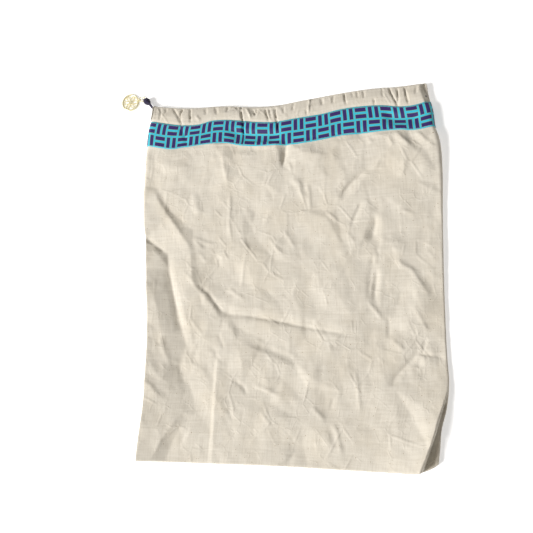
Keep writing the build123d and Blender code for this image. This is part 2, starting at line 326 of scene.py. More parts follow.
CREASES = [
    # Upper left
    crease([(-144, 96), (-134, 77), (-117, 53), (-98, 25)], 0.6, 4, 10),
    crease([(-98, 39), (-84, 33), (-71, 30)], 0.7, 3, 5),
    crease([(-97, 37), (-84, 25)], 0.6, 3, 5),
    crease([(-150, 41), (-136, 30), (-127, 24)], -0.9, 6, 4, taper=0.12),
    crease([(-139, 125), (-127, 114), (-102, 111)], 1.0, 12, 10, soft=True),
    crease([(-67, 130), (-65, 113), (-62, 101), (-60, 89)], 0.8, 10, 4),
    crease([(-60, 131), (-40, 129), (-16, 126)], -1.0, 5, 10, soft=True),
    crease([(-58, 87), (-58, 68), (-59, 51), (-55, 28)], 0.8, 3.5, 3.5),
    crease([(-98, 87), (-93, 68), (-89, 60)], 0.9, 8, 8, soft=True),
    # Left side
    crease([(-125, 20), (-121, 1), (-117, -18), (-111, -41), (-105, -67)], -1.2, 3.5, 10),
    crease([(-99, 28), (-98, 11), (-93, -11)], 0.3, 4, 10),
    crease([(-106, 3), (-98, -4), (-92, -12)], 0.6, 3, 4),
    crease([(-90, 22), (-81, 11)], 0.6, 4, 4),
    crease([(-71, 18), (-65, 18), (-53, 27)], 0.8, 4, 5),
    crease([(-68, 18), (-69, 6)], -0.7, 3, 3),
    crease([(-95, -8), (-79, -20), (-67, -37), (-61, -40)], -0.6, 3.5, 3),
    crease([(-60, -13), (-52, -20), (-41, -27)], 0.8, 4, 5),
    crease([(-41, 20), (-44, 1), (-46, -18)], 0.8, 4, 4),
    crease([(-129, -62), (-123, -77), (-115, -94)], 0.8, 8, 7),
    crease([(-108, -80), (-106, -96), (-102, -112)], -0.6, 7, 7, soft=True),
    crease([(-145, -104), (-134, -113), (-125, -124)], 1.0, 5, 8),
    # Middle
    crease([(1, 132), (-1, 118), (-4, 104)], -2.0, 3, 8, taper=0.45),
    crease([(10, 122), (25, 119), (46, 116)], 1.2, 5, 15),
    crease([(2, 113), (4, 108), (7, 101)], 0.7, 3, 4),
    crease([(4, 96), (12, 89), (20, 70)], 0.9, 6, 6, soft=True),
    crease([(21, 92), (24, 77), (25, 58)], 0.9, 3, 6),
    crease([(-44, 37), (-41, 30), (-38, 22)], 0.6, 3, 4),
    crease([(-18, 37), (-13, 28), (-3, 17)], 0.7, 4, 4),
    crease([(-3, 43), (2, 35), (10, 22)], 0.7, 4, 4),
    crease([(42, 58), (52, 49)], 0.6, 4, 4),
    crease([(60, 39), (63, 33), (69, 25)], 0.6, 4, 4),
    crease([(-62, -39), (-32, -44), (-3, -50), (35, -58), (73, -65)], -0.7, 3.5, 2.2),
    crease([(-43, -65), (-22, -75), (-3, -82), (18, -92)], -0.8, 7, 7, soft=True),
    crease([(-55, -54), (-51, -60)], 0.5, 3, 3),
    # Upper right
    crease([(53, 72), (60, 81), (71, 92), (80, 97)], -1.3, 4, 9),
    crease([(80, 97), (92, 99), (98, 113)], -0.8, 4, 8),
    crease([(75, 68), (71, 58), (63, 41)], -1.2, 6.5, 3.5),
    crease([(89, 54), (88, 44), (84, 28)], -0.6, 4, 5.5),
    crease([(80, 27), (73, 22), (63, 18), (58, 12)], -0.8, 5, 4),
    crease([(109, 136), (116, 128), (125, 120)], 1.3, 5, 8),
    crease([(128, 136), (137, 127), (148, 117)], 1.3, 5, 9),
    crease([(82, 134), (87, 125)], 0.7, 4, 5),
    crease([(103, 133), (107, 120)], 0.9, 4, 5),
    crease([(118, 110), (117, 99), (114, 89)], 0.8, 5, 6),
    crease([(99, 113), (92, 99)], 0.6, 7, 7, soft=True),
    crease([(111, 57), (118, 56), (127, 52)], 0.7, 3, 5),
    # Right side
    crease([(86, 18), (84, 1), (80, -22), (81, -30)], -0.5, 3.5, 4),
    crease([(89, 23), (90, 16), (93, 11)], -0.7, 3, 3),
    crease([(90, 1), (89, -9), (87, -19), (87, -31)], -1.1, 3, 6),
    crease([(78, -29), (87, -41), (95, -51)], 0.9, 4, 4),
    crease([(97, -44), (99, -51), (98, -67)], -0.8, 4, 3.5),
    crease([(103, 13), (112, 4), (122, -2), (133, -21), (136, -27)], 0.6, 3, 6),
    crease([(121, -34), (126, -43), (136, -63)], 0.6, 3, 5),
    crease([(129, -81), (133, -66)], -0.9, 4, 4),
    crease([(129, -81), (142, -83), (150, -86)], -0.9, 4, 4),
    crease([(129, -81), (118, -87), (104, -103), (98, -114)], -1.0, 6, 5),
    crease([(129, -81), (123, -95)], -0.7, 5, 4),
    # Lower left and middle
    crease([(-106, -141), (-114, -152), (-123, -164), (-131, -180)], 0.6, 4, 5),
    crease([(-69, -84), (-69, -96), (-70, -132), (-71, -180)], 0.25, 4, 3),
    crease([(-68, -60), (-64, -70), (-62, -76)], -0.7, 3.5, 3.5),
    crease([(-70, -74), (-70, -82), (-62, -89)], -0.6, 3.5, 3.5),
    crease([(-54, -103), (-41, -113), (-37, -122)], -0.9, 4, 4),
    crease([(-33, -110), (-24, -113), (-5, -121)], 0.9, 5, 3.5),
    crease([(-57, -131), (-53, -139), (-52, -145)], -0.8, 4, 4),
    crease([(-24, -136), (-13, -149)], 0.7, 4, 4),
    crease([(25, -130), (33, -138), (39, -143)], 0.9, 4, 5),
    crease([(43, -144), (49, -153), (53, -174)], 0.9, 4, 5),
    crease([(46, -121), (43, -134)], -0.7, 4, 4),
    # Lower right
    crease([(66, -94), (68, -106), (71, -137)], 0.8, 4, 4),
    crease([(100, -66), (106, -72), (113, -78)], 0.8, 4, 5),
]

# Broad facets between ridge and valley lines. Each point is a place and its height there.
FACET_LINES = [
    # The left edge, and the strip beside it that falls to a long valley
    [(-155, 128, 0.8), (-157, 90, 2.2), (-155, 50, 3.0), (-151, 34, 3.2), (-149, 20, 3.6),
     (-146, -20, 3.4), (-145, -60, 2.8), (-145, -84, 3.0), (-146, -100, 4.2),
     (-147, -130, 4.6), (-150, -188, 4.8)],
    [(-136, 24, 2.8), (-129, 17, 2.2)],
    [(-137, -18, 2.5), (-131, -40, 2.4), (-127, -58, 1.8)],
    [(-124, 22, 0.6), (-121, 1, -1.4), (-117, -18, -1.9), (-111, -41, -1.9),
     (-105, -60, -1.6), (-101, -72, -1.2)],
    [(-117, 24, 1.2), (-115, 1, 0.2), (-110, -18, 0), (-103, -41, 0), (-97, -62, -0.2)],
    [(-150, 41, 1.2), (-136, 30, 0.8), (-127, 24, 0.9)],
    # The long ridge at the upper left, and the foot of its dark side
    [(-144, 96, 0.6), (-134, 77, 1.3), (-127, 66, 1.6), (-117, 53, 2.0), (-108, 41, 2.2),
     (-102, 32, 1.9), (-98, 26, 1.5)],
    [(-140, 98, 0.2), (-131, 81, 0.3), (-122, 67, 0.2), (-110, 56, 0.2), (-97, 46, 0.1),
     (-86, 38, 0.2), (-70, 31, 0.5)],
    [(-96, 34, 0.4), (-84, 29, 0.5)],
    [(-99, 26, 1.8), (-98, 11, 2.1), (-96, -3, 2.1), (-93, -12, 1.6), (-84, -22, 1.1),
     (-75, -32, 0.6), (-69, -41, 0.1), (-64, -47, -0.3)],
    [(-94, 26, 1.0), (-92, 11, 1.4), (-90, -2, 1.2), (-87, -12, 0.3), (-79, -20, -0.6),
     (-72, -29, -1.0), (-66, -37, -1.5), (-61, -40, -1.8)],
    # The long valley across the middle, with its bright far side
    [(-61, -40, -1.8), (-51, -42, -1.4), (-32, -44, -1.2), (-13, -47, -1.0), (16, -54, -0.7),
     (35, -58, -0.5), (54, -62, -0.3), (76, -66, 0)],
    [(-55, -33, 0.3), (-32, -36, 0.3), (-3, -42, 0.3), (35, -50, 0.3), (73, -59, 0.2)],
    [(-60, -45, -0.6), (-32, -48, -0.3), (-3, -54, 0), (35, -62, 0.1), (73, -69, 0.2)],
    # Two softer falls below it
    [(-58, -53, 0.6), (-50, -66, 0.9), (-35, -74, 0.9), (-18, -82, 0.8), (0, -89, 0.6),
     (20, -99, 0.3)],
    [(-50, -54, -0.5), (-36, -61, -0.5), (-16, -69, -0.4), (2, -76, -0.3), (22, -86, -0.1)],
    [(-68, -64, 0.3), (-68, -84, 0.5), (-69, -96, 0.5), (-70, -132, 0.4), (-71, -160, 0.3),
     (-72, -186, 0.2)],
    [(-72, -88, -0.3), (-72, -110, -0.5), (-73, -134, -0.6), (-74, -160, -0.7), (-76, -186, -0.7)],
    [(-55, -98, 0.1), (-55, -122, 0), (-56, -150, 0)],
    # The lower left corner
    [(-131, -66, 1.2), (-124, -78, 1.6), (-124, -92, 1.5), (-118, -108, 1.2), (-108, -124, 0.4)],
    [(-105, -84, -1.2), (-102, -98, -1.6), (-97, -112, -1.6), (-92, -124, -1.4)],
    [(-133, -107, 3.0), (-125, -119, 2.2), (-118, -134, 1.4)],
    [(-104, -138, 0.6), (-115, -150, 2.0), (-124, -164, 2.6), (-133, -182, 3.0)],
    [(-98, -144, -0.6), (-106, -153, 0), (-113, -166, 0), (-119, -184, 0.2)],
    [(-90, -140, -0.4), (-96, -160, -0.2), (-102, -184, 0.2)],
    # Under the ribbon
    [(-67, 130, 0.5), (-65, 113, 0.8), (-62, 101, 0.7), (-60, 89, 0.5), (-58, 68, 0.5)],
    [(-52, 126, -0.2), (-49, 106, -0.2), (-47, 90, 0)],
    [(-76, 128, 0.2), (-74, 104, 0.2)],
    [(-12, 134, 2.0), (-8, 122, 1.5), (-4, 106, 0.1)],
    [(0, 134, -1.6), (-1, 122, -1.2), (-3, 108, -0.2)],
    [(6, 134, 0.2), (5, 120, 0.1)],
    [(10, 126, 0.9), (25, 122, 1.2), (46, 120, 0.9), (53, 128, 0.8)],
    [(12, 130, -0.2), (30, 131, -0.3), (46, 133, -0.1)],
    [(54, 122, 0), (52, 108, 0), (56, 100, 0.4)],
    [(110, 136, 0.4), (120, 124, 1.3), (131, 113, 0.8)],
    [(118, 137, -0.3), (129, 124, -0.5), (138, 115, 0)],
    # The middle right
    [(82, 58, 0.3), (80, 42, 0.6), (76, 30, 0.5), (66, 20, 0.3)],
    [(88, 58, -0.2), (88, 44, -0.7), (86, 34, -0.9), (82, 26, -0.7), (70, 16, -0.3)],
    [(95, 56, 0.4), (95, 42, 0.5), (94, 30, 0.4), (97, 12, 0.2)],
    [(80, 14, 0.2), (78, -8, 0.3), (78, -26, 0.3)],
    [(88, 3, -0.4), (87, -12, -0.7), (86, -29, -0.6), (91, -39, -0.4), (97, -51, -0.3)],
    [(93, 3, 0.3), (93, -14, 0.3), (91, -26, 0.3)],
    [(52, 72, 0.2), (60, 82, -0.7), (71, 92, -0.8), (80, 97, -0.5)],
    [(50, 82, 0.5), (62, 95, 0.6), (74, 102, 0.4)],
    [(103, 13, 0.3), (112, 4, 0.6), (122, -2, 0.7), (133, -21, 0.5), (138, -30, 0.2)],
    [(108, 14, 0), (118, 6, -0.1), (130, -4, -0.2), (139, -20, 0)],
    # Round the dent near the right edge
    [(118, -80, 0.3), (129, -81, -1.6), (140, -84, -0.2)],
    [(126, -68, 0.2), (132, -94, 0.2)],
    [(96, -110, 0), (108, -98, -0.5), (120, -88, -0.9)],
    [(94, -100, 0.4), (107, -88, 0.5)],
    [(106, -112, 0.3), (120, -98, 0.4)],
]
# Where the cloth is level again
FACET_ANCHORS = [
    (-100, 100, 0.2), (-110, 84, 0.1), (-84, 60, 0.2), (-72, 70, 0.1), (-30, 100, 0.1),
    (-35, 70, 0), (-10, 70, 0.1), (-30, 20, 0.2), (0, 0, 0.1), (30, 20, 0), (45, -20, 0),
    (20, 90, 0.2), (35, 70, 0), (110, 80, 0), (130, 60, 0.2), (120, 30, 0), (105, -20, 0),
    (115, -50, 0.2), (60, -90, 0), (30, -120, 0.2), (60, -130, 0), (90, -130, 0.3),
    (20, -160, 0), (-20, -140, 0.2), (-30, -170, 0), (-86, -60, 0.2), (-88, -90, -0.6),
    (-86, -120, -1.0), (100, -160, 0.2), (60, -170, 0), (150, 90, 0), (152, 40, 0),
    (152, -10, 0.2), (152, -60, 0), (-125, 128, 0.2), (-95, 130, 0), (-32, 132, 0.1),
    (80, 134, 0), (145, 128, 0.2), (-120, 100, 0.3), (150, -100, 0), (150, -185, 0),
    (0, -188, 0), (100, -188, 0), (155, 135, 0), (-160, -195, 3.8), (-160, 140, 0),
    (160, -195, 0), (160, 140, 0)]
FACET_STEP = 5.0
FACET_STRENGTH = 1.5
# Smaller uneven facets everywhere: their size and how far they rise and fall
CRUMPLES = [(27.0, 0.85), (13.0, 0.42), (6.5, 0.17)]
CRUMPLE_SEED = 7
CRUMPLE_SHIFT = 0.44

# Long soft valleys in the ribbon, as places along it and across the flat bag
NECK_FOLDS = [
    crease([(-66, 154), (-48, 152), (-24, 152), (2, 153)], -2.6, 9, 13, soft=True),
    crease([(96, 156), (112, 153), (138, 154)], -2.4, 9, 13, soft=True),
    crease([(-116, 168), (-108, 154), (-104, 141)], -1.2, 5, 6)]

# The puffed corner at the lower right: a long ridge whose far side falls steeply to the edge
CORNER_RIDGE = [(152, -106, 0.0), (149.5, -118, 2.0), (145, -130, 4.6), (141, -141, 7.6),
                (136.5, -155, 10.0), (130, -172, 12.0), (122.5, -190, 13.0)]
CORNER_LEFT = 48.0
CORNER_SLOPE = 7.0
CORNER_DROP = 2.4
# Past the fall, a rim rises again wherever the ridge is high enough
CORNER_RIM = 3.2
RIM_FROM = 0.35
RIM_FADE = 0.6
RIM_NEEDS = 4.0

# Puckers in the casing, as places along the mouth and heights over the ribbon's upper edge
PUCKERS = [
    crease([(-138, 18), (-136, 10), (-137, 1)], -1.2, 1.8, 1.8),
    crease([(-131, 18), (-130, 11)], -0.9, 2, 2),
    crease([(-124, 19), (-117, 10), (-113, 2)], -1.3, 1.8, 2.6),
    crease([(-112, 18), (-114, 11), (-112, -1)], -1.7, 1.7, 2.0, taper=0.1),
    crease([(-104, 19), (-103, 11), (-101.5, 1)], -1.7, 1.6, 2.0),
    crease([(-97, 10), (-91, 3)], 0.8, 2, 3),
    crease([(-87, 18), (-85, 8)], -0.6, 3, 3, soft=True),
    crease([(-76, 18), (-73, 6)], -0.7, 3, 3, soft=True),
    crease([(-62, 18), (-63, 9)], -0.9, 2.6, 2.6),
    crease([(-53.5, 18), (-50.5, 12)], -1.3, 1.6, 1.6),
    crease([(-48.5, 20), (-47.3, 10), (-45.5, 0), (-44.5, -14)], -2.6, 1.8, 2.4, taper=0.1),
    crease([(-43, 18), (-38.5, 9), (-36, 2)], 1.2, 1.8, 2.2),
    crease([(-36.5, 18), (-32.5, 7)], -1.4, 1.6, 1.6),
    crease([(-29.5, 17), (-33, 6)], -1.2, 1.6, 1.6),
    crease([(-22.5, 19), (-20.5, 9), (-17, 0)], -1.8, 1.6, 1.8),
    crease([(-19, 18), (-16, 8), (-14.5, 3)], -1.2, 1.4, 1.4),
    crease([(-12.5, 19), (-11, 9), (-9, -2), (-8, -10)], -2.1, 1.6, 1.8, taper=0.1),
    crease([(-3, 17), (-2, 6)], -0.8, 2, 2),
    crease([(8, 18), (7, 8)], -0.7, 2.4, 2.4, soft=True),
    crease([(23.8, 19), (23.2, 2)], 1.1, 1.8, 1.2, taper=0.1),
    crease([(21, 8), (22, 1)], -0.9, 1.6, 1.6),
    crease([(36, 18), (38, 8)], -0.7, 3, 3, soft=True),
    crease([(49, 18), (48, 7)], -0.8, 2.4, 2.4),
    crease([(59.6, 19), (60.4, 10), (62.7, 3)], -1.5, 1.4, 1.8),
    crease([(67.5, 18), (68.5, 11)], -0.9, 1.6, 1.6),
    crease([(72.5, 18), (73.5, 9)], -0.9, 1.8, 1.8),
    crease([(79, 18), (80, 8)], -0.9, 2.2, 2.2),
    crease([(89.5, 7), (90, 0)], -1.2, 1.6, 1.6),
    crease([(97, 18), (99, 8)], -0.9, 2, 2),
    crease([(104.5, 19), (106, 13), (110.5, 5), (113, 0)], -1.8, 1.6, 2.0, taper=0.12),
    crease([(112.3, 19), (113, 9), (113.5, 0)], -1.6, 1.5, 1.6),
    crease([(119.5, 19), (121, 10), (123.5, 1)], -1.9, 1.5, 1.9),
    crease([(122, 18), (123, 14)], -0.9, 1.4, 1.4),
    crease([(132, 17), (130, 9)], -0.6, 2.4, 2.4, soft=True),
    crease([(143, 24), (140, 14), (144, 2)], -3.0, 8, 8, taper=0.0, soft=True)]


def fold_profile(distance, width, soft):
    """A crease's height across its side: 1 on its line, 0 at its width."""
    t = np.clip(distance / width, 0.0, 1.0)
    if soft:
        return (1.0 - t * t) ** 2
    return (1.0 - t) ** 1.5


def crease_height(fold, x, y):
    """The height that one crease adds at places x, y."""
    points = fold["points"]
    spans = np.hypot(*np.diff(points, axis=0).T)
    total = spans.sum()
    best = np.full(x.shape, np.inf)
    side = np.zeros(x.shape)
    along = np.zeros(x.shape)
    walked = 0.0
    for start, end, span in zip(points[:-1], points[1:], spans):
        heading = (end - start) / span
        ahead = (x - start[0]) * heading[0] + (y - start[1]) * heading[1]
        ahead = np.clip(ahead, 0.0, span)
        dx = x - start[0] - ahead * heading[0]
        dy = y - start[1] - ahead * heading[1]
        distance = np.hypot(dx, dy)
        nearer = distance < best
        best = np.where(nearer, distance, best)
        side = np.where(nearer, heading[0] * dy - heading[1] * dx, side)
        along = np.where(nearer, (walked + ahead) / total, along)
        walked += span
    width = np.where(side > 0, fold["left"], fold["right"])
    height = fold["height"] * fold_profile(best, width, fold["soft"])
    if fold["taper"] > 0:
        height = height * smooth(along / fold["taper"]) * smooth((1 - along) / fold["taper"])
    return height


def triangles_of(points):
    """Triangles that join scattered places, as near to equal-sided as they can be."""
    flat = [Vector((x, y)) for x, y, _ in points]
    return delaunay_2d_cdt(flat, [], [], 0, 1e-4)[2]


def facet_height(points, x, y):
    """Flat facets through scattered points, as the height at places x, y."""
    points = np.array(points)
    total = np.zeros(x.shape)
    for corners in triangles_of(points.tolist()):
        a, b, c = points[list(corners)]
        low = np.minimum(np.minimum(a, b), c)
        high = np.maximum(np.maximum(a, b), c)
        near = (x >= low[0]) & (x <= high[0]) & (y >= low[1]) & (y <= high[1])
        area = (b[0] - a[0]) * (c[1] - a[1]) - (c[0] - a[0]) * (b[1] - a[1])
        px, py = x[near], y[near]
        share_b = ((px - a[0]) * (c[1] - a[1]) - (c[0] - a[0]) * (py - a[1])) / area
        share_c = ((b[0] - a[0]) * (py - a[1]) - (px - a[0]) * (b[1] - a[1])) / area
        inside = (share_b >= -1e-9) & (share_c >= -1e-9) & (share_b + share_c <= 1 + 1e-9)
        value = a[2] + share_b * (b[2] - a[2]) + share_c * (c[2] - a[2])
        total[near] = np.where(inside, value, total[near])
    return total


def facet_points():
    """Every point of the broad facets: their lines, closely spaced, and the level places."""
    found = list(FACET_ANCHORS)
    for line in FACET_LINES:
        line = np.array(line, float)
        for start, end in zip(line[:-1], line[1:]):
            count = max(1, round(np.hypot(*(end - start)[:2]) / FACET_STEP))
            found.extend(tuple(mix(start, end, k / count)) for k in range(count))
        found.append(tuple(line[-1]))
    unique = {(round(px, 3), round(py, 3)): height for px, py, height in found}
    return [(px, py, height) for (px, py), height in unique.items()]


def crumple_points(size, height):
    """Uneven facets of one size all over the cloth."""
    chance = np.random.default_rng(CRUMPLE_SEED)
    found = []
    for px in np.arange(-MAP_X - size, MAP_X + 1 + size, size):
        for py in np.arange(-MAP_Y - size, MAP_Y + 1 + size, size):
            dx, dy = chance.uniform(-CRUMPLE_SHIFT, CRUMPLE_SHIFT, 2) * size
            found.append((px + dx, py + dy, chance.normal(0.0, height)))
    return found


def corner_height(x, y):
    """The puffed corner: a gentle rise to a sharp ridge, and a steep fall beyond it."""
    line = np.array(CORNER_RIDGE)[::-1]
    crest_x = np.interp(y, line[:, 1], line[:, 0])
    crest = np.interp(y, line[:, 1], line[:, 2], right=0.0)
    past = x - crest_x
    rise = crest * (1.0 - np.clip(-past / CORNER_LEFT, 0, 1)) ** 2
    up_the_rim = (past - RIM_FROM * crest) / (RIM_FADE * crest + 0.1)
    rim = CORNER_RIM * smooth(up_the_rim) * (crest > RIM_NEEDS)
    fall = np.maximum(crest - CORNER_SLOPE * past, -CORNER_DROP) + rim
    return np.where(past < 0, rise, np.where(crest > 0, fall, 0.0))


def blurred(heights):
    """The same height map with its sharpest edges softened."""
    for axis in (0, 1):
        before = np.roll(heights, 1, axis)
        after = np.roll(heights, -1, axis)
        heights = (before + 2 * heights + after) / 4
    return heights


def over_cord(x, y):
    """The least height of the casing's face that covers the cord inside it."""
    front = CORD_LINE[:np.argmax(CORD_LINE[:, 0])]
    inside = (x > front[0, 0]) & (x < front[-1, 0])
    along_y = np.interp(x, front[:, 0], front[:, 1])
    top = np.interp(x, front[:, 0], front[:, 2]) + CORD / 2 + CLOTH + COVER_GAP
    beside = np.clip((np.abs(y - along_y) - COVER_FLAT) / COVER_FADE, 0, None)
    return np.where(inside, top - COVER_FALL * beside ** 2, 0.0)


def undulation(x, y):
    """Gentle unevenness that cloth has everywhere."""
    wide = np.sin(x / 31.0 + 1.3 * np.sin(y / 47.0)) * np.cos(y / 39.0 + 0.8)
    middle = np.sin(x / 13.0 + y / 21.0 + np.sin(y / 17.0)) * np.sin(y / 12.0 - x / 33.0 + 2.0)
    fine = np.sin(x / 4.7 + 1.9 * np.sin(y / 9.1)) * np.sin(y / 5.3 + 1.7 * np.sin(x / 8.3))
    return 0.55 * wide + 0.16 * middle + 0.035 * fine


def body_folds():
    """Every fold of the body in one height map, as a function of the place."""
    at_x = np.arange(-MAP_X, MAP_X + 1, MAP_STEP)
    at_y = np.arange(-MAP_Y, MAP_Y + 1, MAP_STEP)
    x, y = np.meshgrid(at_x, at_y)
    heights = FACET_STRENGTH * facet_height(facet_points(), x, y)
    for fold in CREASES:
        heights = heights + CREASE_STRENGTH * crease_height(fold, x, y)
    for size, height in CRUMPLES:
        heights = heights + facet_height(crumple_points(size, height), x, y)
    heights = blurred(heights) + corner_height(x, y)

    def height(px, py):
        column = np.clip((px - at_x[0]) / MAP_STEP, 0, len(at_x) - 1.001)
        row = np.clip((py - at_y[0]) / MAP_STEP, 0, len(at_y) - 1.001)
        i, j = row.astype(int), column.astype(int)
        s, t = row - i, column - j
        near = mix(heights[i, j], heights[i, j + 1], t)
        far = mix(heights[i + 1, j], heights[i + 1, j + 1], t)
        return mix(near, far, s)

    return height


fold_height = body_folds()


def front_height(x, y, flat_y):
    """The height of the front cloth's outer face, away from the bag's edges."""
    neck = neck_share(flat_y)
    crown = BODY_CROWN * (1.0 - np.abs(x / HALF_WIDTH) ** 3)
    held = RIBBON_HOLDS * smooth((flat_y - RIBBON_BOTTOM + HOLD_STARTS) / HOLD_FADE)
    height = mix(BODY_HEIGHT + crown, NECK_HEIGHT, neck)
    height = height + fold_height(x, y) * (1.0 - held)
    for fold in NECK_FOLDS:
        height = height + crease_height(fold, x, flat_y)
    height = height + undulation(x, y) * mix(1.0, 0.5, neck)
    casing = np.clip((flat_y - RIBBON_TOP) / (TOP - RIBBON_TOP), 0, 1)
    upper = np.clip((casing - SLOPE_FROM) / (1 - SLOPE_FROM), 0, 1)
    height = height + CASING_CREST * smooth(casing / CREST_SHARE)
    height = height - CASING_SLOPE * upper ** SLOPE_CURVE
    for fold in PUCKERS:
        height = height + PUCKER_STRENGTH * crease_height(fold, x, flat_y - RIBBON_TOP)
    height = np.where(casing > 0, np.maximum(height, over_cord(x, y)), height)
    return np.maximum(height, LEAST_HEIGHT)


def back_height(x, y, flat_y):
    """The height of the back cloth's outer face: on the floor, and on the ribbon under it."""
    from_ribbon = np.maximum(RIBBON_BOTTOM - flat_y, flat_y - RIBBON_TOP)
    raised = RIBBON_BACK * (1.0 - smooth(from_ribbon / RIBBON_STEP))
    return np.full(x.shape, BACK_HEIGHT) + raised + 0.0 * y


# -------- cloth panels as grids

def edge_arc():
    """Angles of the steps round an edge, without the last."""
    return np.radians(np.linspace(0, 90, EDGE_STEPS + 1))[:-1]


def columns():
    """Places across a panel: share of the flat width, reach into the round edge, rise, lip."""
    left = [(0.0, -1.0, 0.0, step) for step in LIP_SHARES]
    left = left + [(0.0, -math.cos(a), math.sin(a), 0.0) for a in edge_arc()]
    count = round(2 * HALF_WIDTH / GRID)
    middle = [(step / count, 0.0, 1.0, 0.0) for step in range(count + 1)]
    right = [(1.0, -out, rise, -turned) for _, out, rise, turned in reversed(left)]
    return np.array(left + middle + right).T


def rows():
    """Places along a panel, from the bottom seam allowance, over the mouth, to the hem's end."""
    plan = [(BOTTOM + SEAM_ALLOWANCE * share, 0.0, 0.0) for share in LIP_SHARES]
    for a in edge_arc():
        plan.append((BOTTOM + EDGE_ROUND * (1 - math.cos(a)), math.sin(a), 0.0))
    turn = CASING_DEPTH / 2
    start, end = BOTTOM + EDGE_ROUND, TOP - turn
    count = round((end - start) / GRID)
    for step in range(count + 1):
        plan.append((mix(start, end, step / count), 1.0, 0.0))
    for a in np.radians(np.linspace(0, 180, FOLD_STEPS))[1:-1]:
        plan.append((end + turn * math.sin(a), 1.0, turn * (1 - math.cos(a))))
    for share in np.linspace(0, 1, FOLD_STEPS):
        plan.append((mix(end, RIBBON_TOP + 1.5, share), 1.0, CASING_DEPTH))
    plan.append((RIBBON_TOP + 0.4, 1.0, mix(HEM_DEPTH, CASING_DEPTH, 0.5)))
    for share in np.linspace(0, 1, HEM_STEPS):
        plan.append((mix(RIBBON_TOP - 0.8, RIBBON_BOTTOM - HEM_TAIL, share), 1.0, HEM_DEPTH))
    return np.array(plan).T


def place_cloth(plan_x, plan_y, height_of, outward, opens):
    """Points of a panel, and how far each is across its cloth.

    plan_x is from columns(), plan_y from rows(), and height_of(x, y, flat_y) is its face.
    outward is 1 for the front and -1 for the back. The casing's left end can be open.
    """
    share, out, rise, lip = plan_x
    flat_y, row_rise, inset = (part[:, None] for part in plan_y)
    neck = neck_share(flat_y)
    seam = mix(BODY_SEAM, NECK_SEAM, neck) + outward * LAYER_GAP
    radius = mix(EDGE_ROUND, NECK_ROUND, neck)
    faded = smooth((flat_y - NECK_ENDS + FADE_BELOW_NECK) / FADE_LENGTH)
    low = left_edge(flat_y) + radius
    high = right_edge(flat_y) - radius
    reach = np.maximum(radius - inset, 1.0)
    x = mix(low, high, share) + out * reach + lip * mix(SEAM_ALLOWANCE, 1.0, faded)
    y = waved(x, flat_y)
    opened = opens * smooth((flat_y - RIBBON_TOP) / 2.0) * (x < 0)
    face = height_of(x, y, flat_y + 0 * x) - outward * inset
    z = mix(seam, face, mix(rise, 1.0, opened) * row_rise)
    past_edge = (1 - rise) * SIDE_CLOTH + np.abs(lip) * SEAM_ALLOWANCE
    across = share * 2 * HALF_WIDTH + np.sign(share - 0.5) * past_edge
    return np.stack([x, y, z], axis=-1), across[None, :] + 0 * y


def add_mesh(name, vertices, faces):
    """A new smooth-shaded mesh object in the scene."""
    mesh = bpy.data.meshes.new(name)
    mesh.from_pydata(vertices, [], faces)
    mesh.polygons.foreach_set("use_smooth", [True] * len(mesh.polygons))
    made = bpy.data.objects.new(name, mesh)
    bpy.context.scene.collection.objects.link(made)
    return made


def grid_mesh(name, points, u, v, closed=False):
    """A mesh of a grid of points in millimetres, with its flat cloth size as its UV map."""
    height, width = points.shape[:2]
    corners = points.reshape(-1, 3) * MM
    index = np.arange(height * width).reshape(height, width)
    if closed:
        index = np.concatenate([index, index[:, :1]], axis=1)
    quads = np.stack([index[:-1, :-1], index[:-1, 1:], index[1:, 1:], index[1:, :-1]], -1)
    made = add_mesh(name, corners.tolist(), quads.reshape(-1, 4).tolist())
    loops = quads.reshape(-1)
    flat = np.stack([u.reshape(-1)[loops], v.reshape(-1)[loops]], axis=-1) * MM
    layer = made.data.uv_layers.new(name="cloth")
    layer.data.foreach_set("uv", flat.reshape(-1).astype(np.float32))
    made.data.update()
    return made


def thicken(piece, thickness, offset):
    """Give a cloth grid its real thickness, as a closed mesh."""
    solid = piece.modifiers.new("thickness", "SOLIDIFY")
    solid.thickness = thickness * MM
    solid.offset = offset
    bpy.context.view_layer.objects.active = piece
    with bpy.context.temp_override(object=piece, active_object=piece):
        bpy.ops.object.modifier_apply(modifier=solid.name)
    return piece


def make_panel(name, height_of, outward):
    """One panel of the bag, with its seam allowances and its half of the hem."""
    plan_y = rows()
    points, across = place_cloth(columns(), plan_y, height_of, outward, 1.0)
    along = distance_along(plan_y[[0, 2]].T)[:, None] + 0 * across
    if outward < 0:
        points = points[:, ::-1]
        across = across[:, ::-1]
    piece = grid_mesh(name, points, across, along)
    return thicken(piece, CLOTH, -1.0)


def outer_normals(points):
    """The direction out of a grid of points that runs left to right, then up."""
    across = np.gradient(points, axis=1)
    along = np.gradient(points, axis=0)
    normal = np.cross(across, along)
    return normal / np.linalg.norm(normal, axis=-1, keepdims=True)


def band_points(flat_low, flat_high, lift, count):
    """A band round the bag's neck: along the front, round the right edge, along the back."""
    plan_x = columns()
    plan_x = plan_x[:, plan_x[3] == 0]
    plan_y = np.array([np.linspace(flat_low, flat_high, count), np.ones(count), np.zeros(count)])
    front, _ = place_cloth(plan_x, plan_y, front_height, 1.0, 0.0)
    back, _ = place_cloth(plan_x, plan_y, back_height, -1.0, 0.0)
    points = np.concatenate([front, back[:, -2::-1]], axis=1)
    return points + outer_normals(points) * lift


def arc_lengths(points):
    """The length along each row of points."""
    return np.stack([distance_along(row) for row in points])


